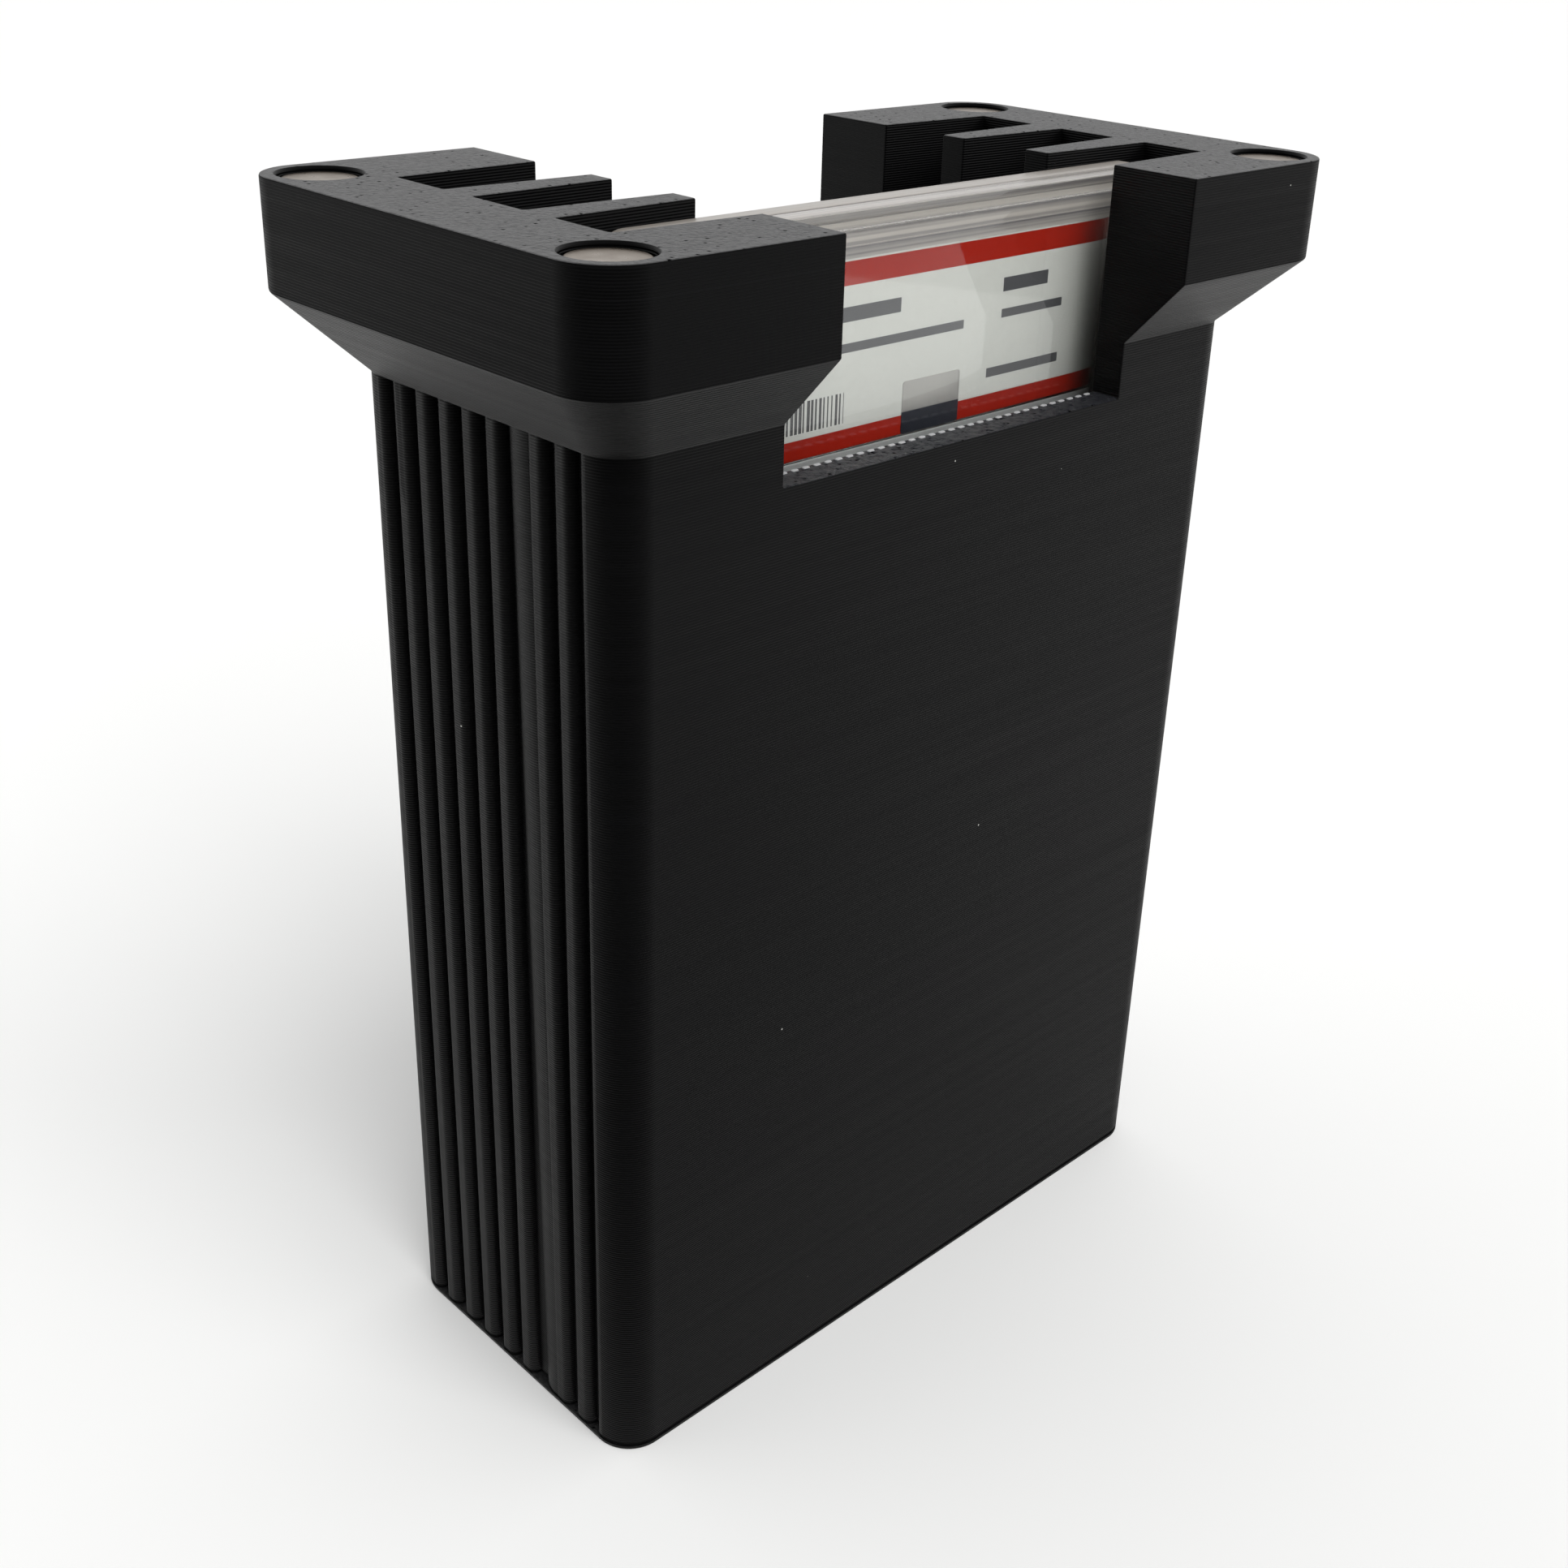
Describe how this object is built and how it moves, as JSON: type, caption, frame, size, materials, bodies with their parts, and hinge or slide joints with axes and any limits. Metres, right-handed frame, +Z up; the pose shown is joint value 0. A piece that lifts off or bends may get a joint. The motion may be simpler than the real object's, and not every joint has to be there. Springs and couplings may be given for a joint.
{
  "type": "graded card storage crate",
  "caption": "Black printed upright crate with a magnetic flanged top, reeded sides and toothed slots that hold sealed graded cards on end, with a clear card holder standing in the front slot.",
  "frame": {"origin": "middle of the base, on the surface that the crate stands on", "axes": "+X along the front to the right as seen from the front, +Y from front to back, +Z up"},
  "size_m": [0.1124, 0.059, 0.143],
  "materials": {
    "black_print": "black filament print with fine level layer lines, satin on the walls and pitted on the top faces",
    "nickel_magnet": "satin nickel plating on a disc magnet",
    "clear_shell": "clear moulded styrene, polished faces",
    "label_paper": "white coated paper with a red band along the top and bottom edges",
    "seal_foil": "dark embossed foil film",
    "card_stock": null
  },
  "bodies": {
    "crate": {"crate_body": "black_print", "magnet_front_left": "nickel_magnet", "magnet_front_right": "nickel_magnet", "magnet_rear_left": "nickel_magnet", "magnet_rear_right": "nickel_magnet"},
    "slab": {"slab_front_shell": "clear_shell", "slab_back_shell": "clear_shell", "slab_label": "label_paper", "label_seal": "seal_foil", "graded_card": "card_stock"}
  },
  "joints": [
    {"name": "slab_lift", "type": "slide", "parent": "crate", "child": "slab", "axis": [0, 0, 1], "range_m": [0, 0.14]}
  ]
}
